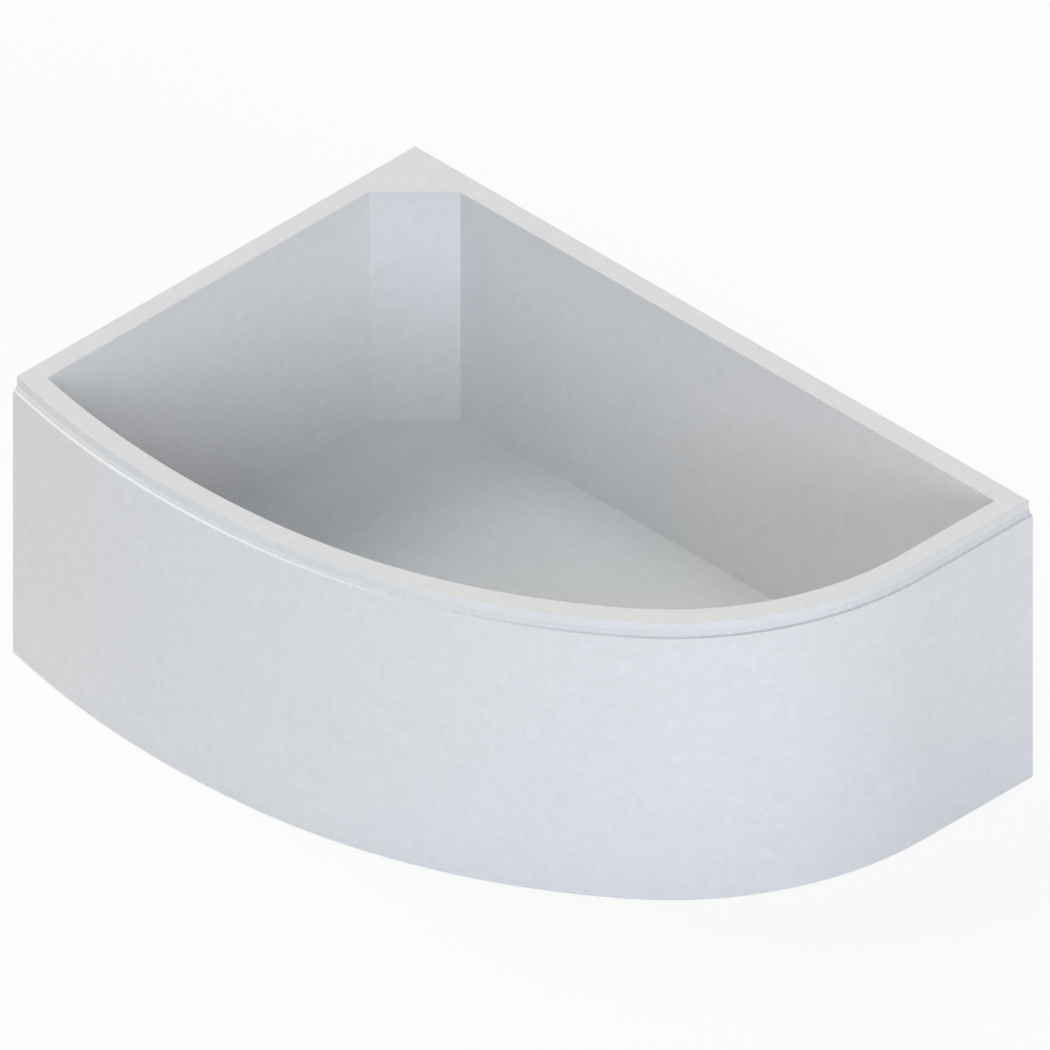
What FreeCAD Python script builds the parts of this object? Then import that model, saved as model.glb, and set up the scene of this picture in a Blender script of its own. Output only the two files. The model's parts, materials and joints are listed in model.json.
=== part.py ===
import FreeCAD, Part
import math
import os

# Corner bathtub in millimetres, +Z up. The plan is laid out from the room corner: u runs along the
# long wall (+X) and v along the short wall (-Y). The finished part is centred over its footprint.

# Rim outline: a straight end on the long wall, then three tangent arcs round to the short wall
rim_length = 1540.0
rim_height = 598.0
end_straight = 276.0
corner_radius = 624.0
corner_sweep = 51.9
middle_radius = 1315.0
middle_sweep = 32.0
front_radius = 1847.0

# Acrylic shell
shell_wall = 5.0
rim_flat = 43.0
lip_depth = 34.0
shelf_cut = 200.0
floor_thickness = 6.0
rim_edge_radius = 2.0
basin_edge_radius = 1.2

# Stack under the basin floor, from the ground up
bar_clearance = 56.0
bar_height = 25.0
board_thickness = 16.0

# Timber under the rim
batten_height = 24.0
batten_clearance = 1.0
hook_slot = 3.0

# Base board
board_inset = 26.0
waste_cutout_radius = 48.0

# Cross-bars, folded from sheet as a top hat
bar_sheet = 2.0
bar_web = 44.0
bar_flange = 22.0
bar_wall_gap = 76.0
bar_front_inset = 70.0
left_bar_share = 0.531
middle_bar_place = 780.0
right_bar_inset = 250.0
screw_radius = 2.0
screw_head_radius = 4.0
screw_head_height = 2.5
screw_depth = 12.0
screw_end_distance = 60.0
fixing_clearance = 0.05

# Adjustable feet
stud_radius = 6.0
stud_headroom = 4.0
thread_clearance = 0.1
board_hole_clearance = 3.0
pad_radius = 25.0
pad_height = 8.0
pad_hub_radius = 12.0
pad_hub_height = 8.0
pad_floor = 4.0
pad_edge_radius = 2.0
nut_flats = 18.0
nut_height = 8.0
foot_end_distance = 110.0
foot_wall_distance = 54.0

# Wall brackets
bracket_sheet = 2.0
wall_bracket_width = 60.0
wall_bracket_drop = 55.0
wall_bracket_hook = 21.0
wall_hole_spacing = 36.0
wall_hole_radius = 3.0
wall_hole_drop = 35.0
back_bracket_places = {"left": 420.0, "right": 1180.0}
side_bracket_place = 520.0

# Panel and its stiffeners
panel_gap = 6.0
panel_skin = 4.0
panel_overlap = 6.0
panel_floor_gap = 3.0
panel_edge_radius = 1.2
panel_lip_gap = 0.4
panel_trim_height = 4.0
rail_thickness = 8.0
rail_height = 35.0
rail_end_gap = 20.0

# Tongues on the tub and spring clips on the panel
tongue_drop = 26.0
tongue_gap = 6.0
tongue_width = 40.0
tongue_overlap_on_bar = 70.0
strap_wall_gap = 2.0
bracket_foot_gap = 4.0
bracket_screw_spacing = 24.0
clip_sheet = 1.5
clip_width = 36.0
clip_leg = 20.0
clip_web_margin = 5.0
clip_clearance = 0.3
left_catch_place = 176.0
catch_angles = (83.0, 68.0, 48.0, 22.0)
end_catch_place = 130.0

# Pop-up waste
waste_distance = 215.0
waste_tail_radius = 25.0
waste_tail_wall = 2.5
waste_hole_clearance = 1.0
waste_flange_radius = 35.0
waste_flange_rise = 4.0
waste_recess_radius = 28.0
waste_recess_depth = 3.0
waste_tail_length = 19.0
waste_seal_thickness = 3.0
waste_seal_radius = 38.0
waste_body_flange_radius = 40.0
waste_body_flange = 5.0
chamber_radius = 33.0
chamber_wall = 3.0
chamber_depth = 48.0
outlet_radius = 23.9
outlet_wall = 3.5
outlet_length = 24.0
guide_hub_radius = 6.0
guide_height = 6.0
guide_arm = 3.0
running_clearance = 0.08

# Plug and lift lever
plug_radius = 27.0
plug_height = 3.5
plug_dome = 2.0
plug_seal_thickness = 1.5
plug_seal_width = 4.0
plug_seal_inset = 0.8
stem_radius = 3.0
stem_drop = 33.0
plug_travel = 8.0
lever_arm = 16.0
lever_tip_radius = 2.5
lever_width = 6.0
lever_thickness = 3.0
lever_hub_radius = 4.0
lever_crank = 12.0
lever_gap = 0.3
pin_radius = 1.5
pin_end_gap = 1.0

# Overflow
overflow_drop = 95.0
overflow_hole_radius = 27.0
overflow_seat_radius = 40.0
overflow_seat_depth = 0.5
overflow_ring_radius = 36.0
overflow_ring_thickness = 3.0
overflow_tail_radius = 25.5
overflow_tail_wall = 2.5
overflow_tail_reach = 6.0
overflow_seal_thickness = 3.0
overflow_flange_radius = 38.0
overflow_flange = 4.0
overflow_chamber_radius = 29.0
overflow_chamber_wall = 2.5

# Turning knob
knob_radius = 34.0
knob_thickness = 9.0
knob_gap = 3.0
knob_edge_radius = 3.0
grip_length = 56.0
grip_width = 13.0
grip_height = 12.0
grip_edge_radius = 2.5
spindle_radius = 4.0
spindle_socket = 6.0
spindle_reach = 10.0
spindle_hub_radius = 7.5
crank_radius = 10.0
crank_thickness = 4.0

# Overflow pipe and the glands beside it
pipe_radius = 13.5
pipe_wall = 2.0
pipe_bend_radius = 34.0
socket_wall = 2.4
socket_length = 30.0
socket_depth = 25.0
pipe_height = 64.0
gland_side = 22.0
gland_bore_radius = 2.8
gland_radius = 5.0
gland_length = 16.0
gland_depth = 12.0

# Heights that follow from the stack
bar_top = bar_clearance + bar_height
floor_bottom = bar_top + board_thickness
floor_top = floor_bottom + floor_thickness
rim_under = rim_height - shell_wall
lip_bottom = rim_height - lip_depth
batten_bottom = rim_under - batten_height
panel_top = lip_bottom + panel_overlap

# Offsets from the rim's outer edge, outwards positive
basin_face = -rim_flat
basin_back = shell_wall - rim_flat
batten_outer = -shell_wall - hook_slot
batten_inner = basin_back + batten_clearance
panel_inner = panel_gap
panel_outer = panel_gap + panel_skin
rail_inner = panel_gap - rail_thickness
tongue_tip = rail_inner - tongue_gap

UP = FreeCAD.Vector(0, 0, 1)
TOUCH = 1e-6


def at(u, v, z=0.0):
    return FreeCAD.Vector(u, -v, z)


def heading(angle):
    """Plan direction at an angle in degrees, turned from the long wall towards the short one."""
    return math.cos(math.radians(angle)), math.sin(math.radians(angle))


def front_arcs():
    """The three tangent arcs of the rim's outer edge: centre u, centre v, radius, first and last angle."""
    cu, cv = rim_length - corner_radius, end_straight
    middle_start = corner_sweep
    front_start = corner_sweep + middle_sweep
    arcs = [(cu, cv, corner_radius, 0.0, middle_start)]
    du, dv = heading(middle_start)
    cu += (corner_radius - middle_radius) * du
    cv += (corner_radius - middle_radius) * dv
    arcs.append((cu, cv, middle_radius, middle_start, front_start))
    du, dv = heading(front_start)
    cu += (middle_radius - front_radius) * du
    cv += (middle_radius - front_radius) * dv
    arcs.append((cu, cv, front_radius, front_start, 180.0))
    return arcs


ARCS = front_arcs()


def on_arc(arc, offset, angle):
    cu, cv, radius = arc[:3]
    du, dv = heading(angle)
    return cu + (radius + offset) * du, cv + (radius + offset) * dv


def front_point(angle, offset):
    """The point of the offset front outline whose outward normal has this angle."""
    arc = next(a for a in ARCS if angle <= a[4])
    return on_arc(arc, offset, angle)


def front_angle(u, offset):
    """The normal's angle where the offset front outline crosses this u, and the arc that it is on."""
    for arc in ARCS:
        reach = (u - arc[0]) / (arc[2] + offset)
        if abs(reach) <= 1.0:
            angle = math.degrees(math.acos(reach))
            if arc[3] <= angle <= arc[4]:
                return angle, arc
    return 0.0, ARCS[0]


def front_v(u, offset):
    angle, arc = front_angle(u, offset)
    return on_arc(arc, offset, angle)[1]


def line(start, stop):
    return Part.makeLine(at(*start), at(*stop))


def front_edges(offset, back, left):
    """Edges of the offset front outline from v = back, along the straight end, round to u = left."""
    end = rim_length + offset
    edges = [line((end, back), (end, end_straight))]
    for arc in ARCS:
        first, last = arc[3], arc[4]
        if arc is ARCS[-1]:
            last = front_angle(left, offset)[0]
        points = [on_arc(arc, offset, a) for a in (first, (first + last) / 2, last)]
        edges.append(Part.Arc(*[at(*p) for p in points]).toShape())
    return edges


def region(offset, back, left, corner_cut=None):
    """Plan face inside the offset front outline and the two wall lines, with the corner cut at 45 degrees."""
    if corner_cut is None:
        corner = [(left, back)]
    else:
        corner = [(left, corner_cut - left), (corner_cut - back, back)]
    points = [(left, front_v(left, offset))] + corner + [(rim_length + offset, back)]
    edges = front_edges(offset, back, left)
    edges += [line(a, b) for a, b in zip(points, points[1:])]
    return Part.Face(Part.Wire(edges))


def strip(outer, inner, back, left):
    """Plan face between two offsets of the front outline."""
    edges = front_edges(outer, back, left) + front_edges(inner, back, left)
    edges.append(line((rim_length + outer, back), (rim_length + inner, back)))
    edges.append(line((left, front_v(left, outer)), (left, front_v(left, inner))))
    return Part.Face(Part.Wire(Part.sortEdges(edges)[0]))


def prism(face, low, high):
    return face.translated(UP * low).extrude(UP * (high - low))


def block(u_range, v_range, z_range):
    """Box between two plan distances from each wall and two heights."""
    size = [abs(b - a) for a, b in (u_range, v_range, z_range)]
    return Part.makeBox(*size, at(min(u_range), max(v_range), min(z_range)))


def rod(radius, length, base=FreeCAD.Vector(), axis=UP):
    return Part.makeCylinder(radius, length, base, axis)


def tube(outer_radius, inner_radius, base, length, axis=UP):
    return rod(outer_radius, length, base, axis).cut(rod(inner_radius, length, base, axis))


def level_edges(shape, z):
    """Edges that lie wholly at one height."""
    return [e for e in shape.Edges if abs(e.BoundBox.ZMin - z) < TOUCH and abs(e.BoundBox.ZMax - z) < TOUCH]


def upright_edges(shape):
    return [e for e in shape.Edges if len(e.Vertexes) == 2 and e.BoundBox.ZLength > 1.0 and is_upright(e)]


def is_upright(edge):
    box = edge.BoundBox
    return box.XLength < TOUCH and box.YLength < TOUCH


def stationed(shape, angle, v=None):
    """Moves a shape made with +X as the outward normal and X = 0 on the rim's edge to its place."""
    u, place_v = front_point(angle, 0.0)
    moved = shape.copy()
    moved.rotate(FreeCAD.Vector(0, 0, 0), UP, -angle)
    moved.translate(at(u, place_v if v is None else v))
    return moved


def stations():
    """Normal angle and, on the straight end, distance from the long wall of each top catch."""
    left_angle, _ = front_angle(left_catch_place, 0.0)
    return [(angle, None) for angle in (left_angle, *catch_angles)] + [(0.0, end_catch_place)]


# Overflow and waste places: on the front wall where its normal points straight along v
overflow_u = front_point(90.0, 0.0)[0]
overflow_z = rim_height - overflow_drop
seat_inner = front_point(90.0, basin_face)[1]
seat_outer = front_point(90.0, basin_back)[1] - overflow_seat_depth
overflow_front = seat_outer + overflow_seal_thickness
pipe_v = overflow_front + pipe_radius + socket_wall
waste_u = overflow_u
waste_v = seat_inner - waste_distance

# Cross-bars: the left one part of the way from the short wall to the waste, the right one set in from the end
bar_places = {"left": left_bar_share * waste_u, "middle": middle_bar_place, "right": rim_length - right_bar_inset}
INWARD = at(0, -1)
OUTWARD = at(0, 1)


def basin_space():
    space = prism(region(basin_face, rim_flat, rim_flat, shelf_cut), floor_top, rim_height + shell_wall)
    corners = [e for e in upright_edges(space) if not is_tangent_corner(e)]
    space = space.makeFillet(basin_edge_radius, corners)
    return space.makeFillet(basin_edge_radius, level_edges(space, floor_top))


def is_tangent_corner(edge):
    """True where two arcs, or the straight end and an arc, run on into each other."""
    joints = [on_arc(arc, basin_face, arc[3]) for arc in ARCS]
    foot = edge.Vertexes[0].Point
    return any(math.hypot(foot.x - u, foot.y + v) < 0.01 for u, v in joints)


def tub_shell():
    rim = prism(region(0.0, 0.0, 0.0), lip_bottom, rim_height)
    rim = rim.makeFillet(rim_edge_radius, level_edges(rim, rim_height))
    channel = prism(region(-shell_wall, shell_wall, shell_wall), lip_bottom, rim_under)
    cut_outside = shelf_cut - shell_wall * math.sqrt(2.0)
    hull = prism(region(basin_back, -basin_back, -basin_back, cut_outside), floor_bottom, rim_under)
    shell = rim.cut(channel).fuse(hull).cut(basin_space()).removeSplitter()
    inside = region(basin_face + rim_edge_radius, rim_flat - rim_edge_radius, rim_flat - rim_edge_radius)
    inner_edges = [e for e in level_edges(shell, rim_height) if lies_in(e, inside)]
    shell = shell.makeFillet(rim_edge_radius, inner_edges)
    for cutter in shell_cutters():
        shell = shell.cut(cutter)
    return shell


def lies_in(edge, face):
    middle = edge.valueAt((edge.FirstParameter + edge.LastParameter) / 2)
    return face.isInside(FreeCAD.Vector(middle.x, middle.y, 0), 0.01, True)


def shell_cutters():
    """Waste hole, overflow hole and the two flat seats that are faced on the curved wall round it."""
    waste = rod(waste_tail_radius + waste_hole_clearance, 3 * floor_thickness,
                              at(waste_u, waste_v, floor_bottom - floor_thickness))
    hole = rod(overflow_hole_radius, 4 * shell_wall,
                             at(overflow_u, seat_inner - shell_wall, overflow_z), OUTWARD)
    inner_seat = rod(overflow_seat_radius, shell_wall, at(overflow_u, seat_inner, overflow_z), INWARD)
    outer_seat = rod(overflow_seat_radius, shell_wall, at(overflow_u, seat_outer, overflow_z), OUTWARD)
    return waste, hole, inner_seat, outer_seat


def bar_ends(u):
    """Distances from the long wall of a cross-bar's two square ends."""
    half = bar_web / 2 + bar_flange
    front = min(front_v(u + side * half, -bar_front_inset) for side in (-1, 1))
    return bar_wall_gap, front


def foot_places():
    """Plan place of each foot: two on each cross-bar."""
    places = []
    for u in bar_places.values():
        near, far = bar_ends(u)
        places.append((u, near + foot_wall_distance))
        places.append((u, far - foot_end_distance))
    return places


def bar_screw_places():
    places = []
    side_step = (bar_web + bar_flange) / 2
    for u in bar_places.values():
        near, far = bar_ends(u)
        for v in (near + screw_end_distance, (near + far) / 2, far - screw_end_distance):
            places += [(u - side_step, v), (u + side_step, v)]
    return places


def wood_screw(u, v, seat, sheet):
    """Round-head screw driven upwards through a sheet whose underside is at the seat height."""
    head = rod(screw_head_radius, screw_head_height, at(u, v, seat - screw_head_height))
    head = head.makeFillet(screw_head_height / 3, level_edges(head, seat - screw_head_height))
    return head.fuse(rod(screw_radius, sheet + screw_depth, at(u, v, seat)))


def screw_hole(u, v, seat, sheet):
    return rod(screw_radius + fixing_clearance, sheet + screw_depth, at(u, v, seat))


def base_board():
    inset = rim_flat - shell_wall + board_inset
    board = prism(region(-inset, inset, inset, shelf_cut + board_inset), bar_top, floor_bottom)
    holes = [rod(waste_cutout_radius, board_thickness, at(waste_u, waste_v, bar_top))]
    for u, v in foot_places():
        holes.append(rod(stud_radius + board_hole_clearance, board_thickness, at(u, v, bar_top)))
    holes += [screw_hole(u, v, bar_top - bar_sheet, bar_sheet) for u, v in bar_screw_places()]
    return board.cut(holes)


def cross_bar(u):
    """Top-hat bar: its flanges lie against the board and its web carries the studs."""
    near, far = bar_ends(u)
    half = bar_web / 2
    outer = block((u - half, u + half), (near, far), (bar_clearance, bar_top))
    inner_half = half - bar_sheet
    inner = block((u - inner_half, u + inner_half), (near, far), (bar_clearance + bar_sheet, bar_top))
    bar = outer.cut(inner)
    for side in (-1, 1):
        flange = (u + side * (half - bar_sheet), u + side * (half + bar_flange))
        bar = bar.fuse(block(flange, (near, far), (bar_top - bar_sheet, bar_top)))
    bar = bar.removeSplitter()
    holes = []
    for place_u, v in foot_places():
        if place_u == u:
            holes.append(rod(stud_radius + 5 * thread_clearance, bar_sheet, at(u, v, bar_clearance)))
    holes += [screw_hole(su, sv, bar_top - bar_sheet, bar_sheet) for su, sv in bar_screw_places()
              if abs(su - u) < bar_web + bar_flange]
    holes += [screw_hole(su, sv, bar_clearance - bar_sheet, bar_sheet) for su, sv in tongue_screw_places(u)]
    return bar.cut(holes)


def bar_screws():
    seat = bar_top - bar_sheet
    return Part.makeCompound([wood_screw(u, v, seat, bar_sheet) for u, v in bar_screw_places()])


def foot_pad(u, v):
    pad = rod(pad_radius, pad_height, at(u, v))
    pad = pad.makeFillet(pad_edge_radius, level_edges(pad, pad_height))
    hub_foot = pad_hub_radius + pad_edge_radius
    hub = Part.makeCone(hub_foot, pad_hub_radius, pad_hub_height, at(u, v, pad_height))
    socket_length = pad_height + pad_hub_height - pad_floor
    return pad.fuse(hub).cut(rod(stud_radius + thread_clearance, socket_length, at(u, v, pad_floor)))


def foot_stud(u, v):
    top = bar_top - stud_headroom
    stud = rod(stud_radius, top - pad_floor, at(u, v, pad_floor))
    return stud.makeChamfer(stud_radius / 5, level_edges(stud, top))


def hex_nut(u, v, base):
    corner = nut_flats / 2 / math.cos(math.radians(30))
    points = [at(u + corner * heading(60 * k)[0], v + corner * heading(60 * k)[1], base) for k in range(7)]
    nut = Part.Face(Part.makePolygon(points)).extrude(UP * nut_height)
    return nut.cut(rod(stud_radius + thread_clearance, nut_height, at(u, v, base)))


def foot_nuts():
    nuts = []
    for u, v in foot_places():
        nuts.append(hex_nut(u, v, bar_clearance - nut_height))
        nuts.append(hex_nut(u, v, bar_clearance + bar_sheet))
    return Part.makeCompound(nuts)


def rim_battens():
    """Timber in the channel under the rim, with a slot left behind the lip for the wall hooks."""
    near, far = -batten_outer, -batten_inner
    clear = shelf_cut
    inside = prism(region(batten_outer, near, near), batten_bottom, rim_under)
    back = block((clear, rim_length), (near, far), (batten_bottom, rim_under)).common(inside)
    left = block((near, far), (clear, 2 * front_radius), (batten_bottom, rim_under)).common(inside)
    front = prism(strip(batten_outer, batten_inner, far + batten_clearance, far + batten_clearance),
                  batten_bottom, rim_under)
    for angle, v in stations():
        front = front.cut([stationed(hole, angle, v) for hole in bracket_screw_set(screw_hole)])
    return back, left, front


def corner_rim_block():
    near = -batten_outer
    reach = shelf_cut - (shell_wall + batten_clearance) * math.sqrt(2.0) - near
    points = [at(near, near), at(reach, near), at(near, reach), at(near, near)]
    return prism(Part.Face(Part.makePolygon(points)), batten_bottom, rim_under)


def wall_bracket():
    """Folded hook, made with the wall at X = 0 and the room towards +X: the lip's edge sits in its fold."""
    half = wall_bracket_width / 2
    fold = lip_bottom - bracket_sheet
    hook_face = shell_wall + (hook_slot - bracket_sheet) / 2
    hook_back = hook_face + bracket_sheet
    profile = [(0, lip_bottom - wall_bracket_drop), (bracket_sheet, lip_bottom - wall_bracket_drop),
               (bracket_sheet, fold), (hook_back, fold), (hook_back, lip_bottom + wall_bracket_hook),
               (hook_face, lip_bottom + wall_bracket_hook), (hook_face, lip_bottom), (0, lip_bottom)]
    points = [FreeCAD.Vector(x, -half, z) for x, z in profile]
    sheet = Part.Face(Part.makePolygon(points + points[:1]))
    hook = sheet.extrude(FreeCAD.Vector(0, wall_bracket_width, 0))
    for side in (-1, 1):
        centre = FreeCAD.Vector(0, side * wall_hole_spacing / 2, lip_bottom - wall_hole_drop)
        hook = hook.cut(rod(wall_hole_radius, bracket_sheet, centre, FreeCAD.Vector(1, 0, 0)))
    return hook


def back_wall_bracket(u):
    hook = wall_bracket()
    hook.rotate(FreeCAD.Vector(0, 0, 0), UP, -90)
    hook.translate(at(u, 0))
    return hook


def side_wall_bracket(v):
    hook = wall_bracket()
    hook.translate(at(0, v))
    return hook


tongue_top = batten_bottom - tongue_drop
tongue_bottom = tongue_top - bracket_sheet


def bracket_screw_set(maker):
    """Two screws, or their holes, at the foot of a top bracket in the catch's own frame."""
    x = (batten_outer + batten_inner) / 2
    half = bracket_screw_spacing / 2
    return [maker(x, v, batten_bottom - bracket_sheet, bracket_sheet) for v in (-half, half)]


def top_bracket():
    """Bent strap: its foot is screwed up into the front batten and its tongue points outwards."""
    strap_back = basin_back + strap_wall_gap
    sides = (-tongue_width / 2, tongue_width / 2)
    foot_tip = batten_outer - bracket_foot_gap
    foot = block((strap_back, foot_tip), sides, (batten_bottom - bracket_sheet, batten_bottom))
    strap = block((strap_back, strap_back + bracket_sheet), sides, (tongue_bottom, batten_bottom))
    tongue = block((strap_back, tongue_tip), sides, (tongue_bottom, tongue_top))
    bracket = foot.fuse([strap, tongue]).removeSplitter()
    return bracket.cut(bracket_screw_set(screw_hole))


def tongue_screw_places(u):
    far = bar_ends(u)[1]
    half = bracket_screw_spacing / 2
    return [(u + side * half, far - tongue_overlap_on_bar / 2) for side in (-1, 1)]


def bottom_bracket(u):
    """Flat strip screwed under a cross-bar's front end: its tip follows the panel's curve."""
    far = bar_ends(u)[1]
    half = tongue_width / 2
    sides = (u - half, u + half)
    heights = (bar_clearance - bracket_sheet, bar_clearance)
    plate = block(sides, (far - tongue_overlap_on_bar, far + 2 * corner_radius), heights)
    plate = plate.common(prism(region(tongue_tip, 0.0, 0.0), *heights))
    return plate.cut([screw_hole(su, sv, heights[0], bracket_sheet) for su, sv in tongue_screw_places(u)])


def bracket_screws():
    screws = []
    for angle, v in stations():
        screws += [stationed(screw, angle, v) for screw in bracket_screw_set(wood_screw)]
    for u in bar_places.values():
        screws += [wood_screw(su, sv, bar_clearance - bracket_sheet, bracket_sheet)
                   for su, sv in tongue_screw_places(u)]
    return Part.makeCompound(screws)


def front_panel():
    panel = prism(strip(panel_outer, panel_inner, 0.0, 0.0), panel_floor_gap, panel_top)
    return panel.makeFillet(panel_edge_radius, level_edges(panel, panel_top))


def panel_top_trim():
    """Strip along the panel's top edge that closes the gap to the rim's lip."""
    return prism(strip(panel_inner, panel_lip_gap, 0.0, 0.0), panel_top - panel_trim_height, panel_top)


def panel_rail(middle):
    rail = strip(panel_inner, rail_inner, rail_end_gap, rail_end_gap)
    return prism(rail, middle - rail_height / 2, middle + rail_height / 2)


def panel_clip(top):
    """Spring clip made with +X outwards: its two legs grip a tongue whose upper face is at this height."""
    sides = (-clip_width / 2, clip_width / 2)
    upper = top + clip_clearance
    lower = top - bracket_sheet - clip_clearance
    web_front = rail_inner - clip_sheet
    leg = (web_front - clip_leg, rail_inner)
    edge = clip_sheet + clip_web_margin
    web = block((web_front, rail_inner), sides, (lower - edge, upper + edge))
    legs = [block(leg, sides, (upper, upper + clip_sheet)), block(leg, sides, (lower - clip_sheet, lower))]
    return web.fuse(legs).removeSplitter()


def clips(top, places, rail):
    return Part.makeCompound([stationed(panel_clip(top), angle, v).cut(rail) for angle, v in places])


def waste_flange():
    """Chrome flange with a recess for the plug, a tail through the floor and a three-armed stem guide."""
    throat = waste_tail_radius - waste_tail_wall
    base = at(waste_u, waste_v, floor_top)
    tail_bottom = floor_top - waste_tail_length
    flange = rod(waste_flange_radius, waste_flange_rise, base)
    flange = flange.makeFillet(waste_flange_rise / 3, level_edges(flange, floor_top + waste_flange_rise))
    recess_floor = floor_top + waste_flange_rise - waste_recess_depth
    flange = flange.cut(rod(waste_recess_radius, waste_flange_rise, at(waste_u, waste_v, recess_floor)))
    flange = flange.fuse(rod(waste_tail_radius, waste_tail_length, at(waste_u, waste_v, tail_bottom)))
    flange = flange.cut(rod(throat, 2 * waste_tail_length, at(waste_u, waste_v, tail_bottom)))
    guide = three_arm_guide(throat, guide_hub_radius, guide_arm, guide_height)
    guide.translate(at(waste_u, waste_v, tail_bottom))
    bore = rod(stem_radius + running_clearance, guide_height, at(waste_u, waste_v, tail_bottom))
    return flange.fuse(guide).cut(bore).removeSplitter()


def three_arm_guide(reach, hub_radius, arm_width, height):
    """Hub on three arms, round the Z axis, trimmed to a circle just past the wall that carries it."""
    guide = rod(hub_radius, height)
    arm = Part.makeBox(reach + arm_width / 2, arm_width, height, FreeCAD.Vector(0, -arm_width / 2, 0))
    for turn in (90, 210, 330):
        guide = guide.fuse(arm.rotated(FreeCAD.Vector(0, 0, 0), UP, turn))
    return guide.common(rod(reach + arm_width / 4, height))


def waste_seal():
    inner = waste_tail_radius + waste_hole_clearance / 2
    return tube(waste_seal_radius, inner, at(waste_u, waste_v, chamber_top), waste_seal_thickness)


chamber_top = floor_bottom - waste_seal_thickness
chamber_bottom = chamber_top - chamber_depth
stem_bottom = floor_top - stem_drop
lever_swing = 2 * math.degrees(math.asin(plug_travel / 2 / lever_arm))
pivot_v = waste_v - lever_arm * math.cos(math.radians(lever_swing / 2))
pivot_z = stem_bottom - lever_gap - lever_tip_radius + plug_travel / 2


def waste_body():
    """Chamber under the floor with the overflow socket in front and a cable gland beside that."""
    height = chamber_depth - chamber_wall
    centre = at(waste_u, waste_v, chamber_bottom + chamber_wall)
    socket_radius = pipe_radius + socket_wall
    socket_start = at(waste_u, waste_v, pipe_height)
    socket_reach = chamber_radius + socket_length
    body = rod(chamber_radius, height, centre)
    body = body.fuse(rod(waste_body_flange_radius, waste_body_flange,
                         at(waste_u, waste_v, chamber_top - waste_body_flange)))
    body = body.fuse(rod(socket_radius, socket_reach, socket_start, OUTWARD))
    gland_start = at(waste_u + gland_side, waste_v, pipe_height)
    gland_reach = chamber_radius + gland_length
    body = body.fuse(rod(gland_radius, gland_reach, gland_start, OUTWARD))
    inside = chamber_radius - chamber_wall
    tail_room = waste_tail_radius + waste_hole_clearance / 2
    spaces = [rod(inside, height - waste_body_flange, centre),
              rod(tail_room, height, centre),
              rod(chamber_radius, chamber_wall, at(waste_u, waste_v, chamber_bottom)),
              rod(pipe_radius + fixing_clearance, socket_depth,
                  at(waste_u, waste_v + socket_reach, pipe_height), INWARD),
              rod(pipe_radius - pipe_wall, socket_reach, socket_start, OUTWARD),
              rod(gland_bore_radius, gland_depth,
                  at(waste_u + gland_side, waste_v + gland_reach, pipe_height), INWARD),
              lever_pin_bar(fixing_clearance)]
    return body.cut(spaces)


def waste_spigot():
    """Round plate that closes the chamber from below, with the outlet tube under it."""
    plate = rod(chamber_radius, chamber_wall, at(waste_u, waste_v, chamber_bottom))
    outlet_bottom = at(waste_u, waste_v, chamber_bottom - outlet_length)
    outlet = rod(outlet_radius, outlet_length, outlet_bottom)
    bore = rod(outlet_radius - outlet_wall, outlet_length + chamber_wall, outlet_bottom)
    return plate.fuse(outlet).cut(bore).removeSplitter()


def lever_pin_bar(clearance):
    """Round bar across the chamber at the lever's pivot."""
    setback = waste_v - pivot_v
    half = math.sqrt(chamber_radius ** 2 - setback ** 2) - pin_end_gap
    start = at(waste_u - half, pivot_v, pivot_z)
    return rod(pin_radius + clearance, 2 * half, start, FreeCAD.Vector(1, 0, 0))


def lift_lever():
    """Bell crank on the pin: a rounded arm under the plug's stem and a short arm for the cable."""
    side = FreeCAD.Vector(1, 0, 0)
    start = at(waste_u - lever_width / 2, pivot_v, pivot_z)
    hub = rod(lever_hub_radius, lever_width, start, side)
    lift = lever_arm_shape(lever_arm, lever_tip_radius, start, side, -lever_swing / 2)
    crank = lever_arm_shape(lever_crank, lever_tip_radius, start, side, -90.0)
    bore = rod(pin_radius + running_clearance, lever_width, start, side)
    return hub.fuse([lift, crank]).cut(bore).removeSplitter()


def lever_arm_shape(length, radius, start, side, tilt):
    """Flat arm with a round end, pointing outwards along v and tilted by degrees above level."""
    low = start + FreeCAD.Vector(0, -length, -lever_thickness / 2)
    arm = Part.makeBox(lever_width, length, lever_thickness, low)
    arm = arm.fuse(rod(radius, lever_width, start + FreeCAD.Vector(0, -length, 0), side))
    arm.rotate(start, side, -tilt)
    return arm


recess_floor_z = floor_top + waste_flange_rise - waste_recess_depth
plug_bottom = recess_floor_z + plug_seal_thickness


def plug_cap():
    cap = rod(plug_radius, plug_height, at(waste_u, waste_v, plug_bottom))
    cap = cap.makeFillet(plug_height / 3, level_edges(cap, plug_bottom + plug_height))
    dome_reach = plug_radius - plug_height
    dome_radius = (dome_reach ** 2 + plug_dome ** 2) / (2 * plug_dome)
    dome_centre = at(waste_u, waste_v, plug_bottom + plug_height + plug_dome - dome_radius)
    dome = Part.makeSphere(dome_radius, dome_centre)
    column = rod(dome_reach, plug_height + plug_dome, at(waste_u, waste_v, plug_bottom))
    return cap.fuse(dome.common(column)).removeSplitter()


def plug_seal():
    outer = plug_radius - plug_seal_inset
    return tube(outer, outer - plug_seal_width, at(waste_u, waste_v, recess_floor_z), plug_seal_thickness)


def plug_stem():
    stem = rod(stem_radius, plug_bottom - stem_bottom, at(waste_u, waste_v, stem_bottom))
    return stem.makeChamfer(stem_radius / 6, level_edges(stem, stem_bottom))


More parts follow.
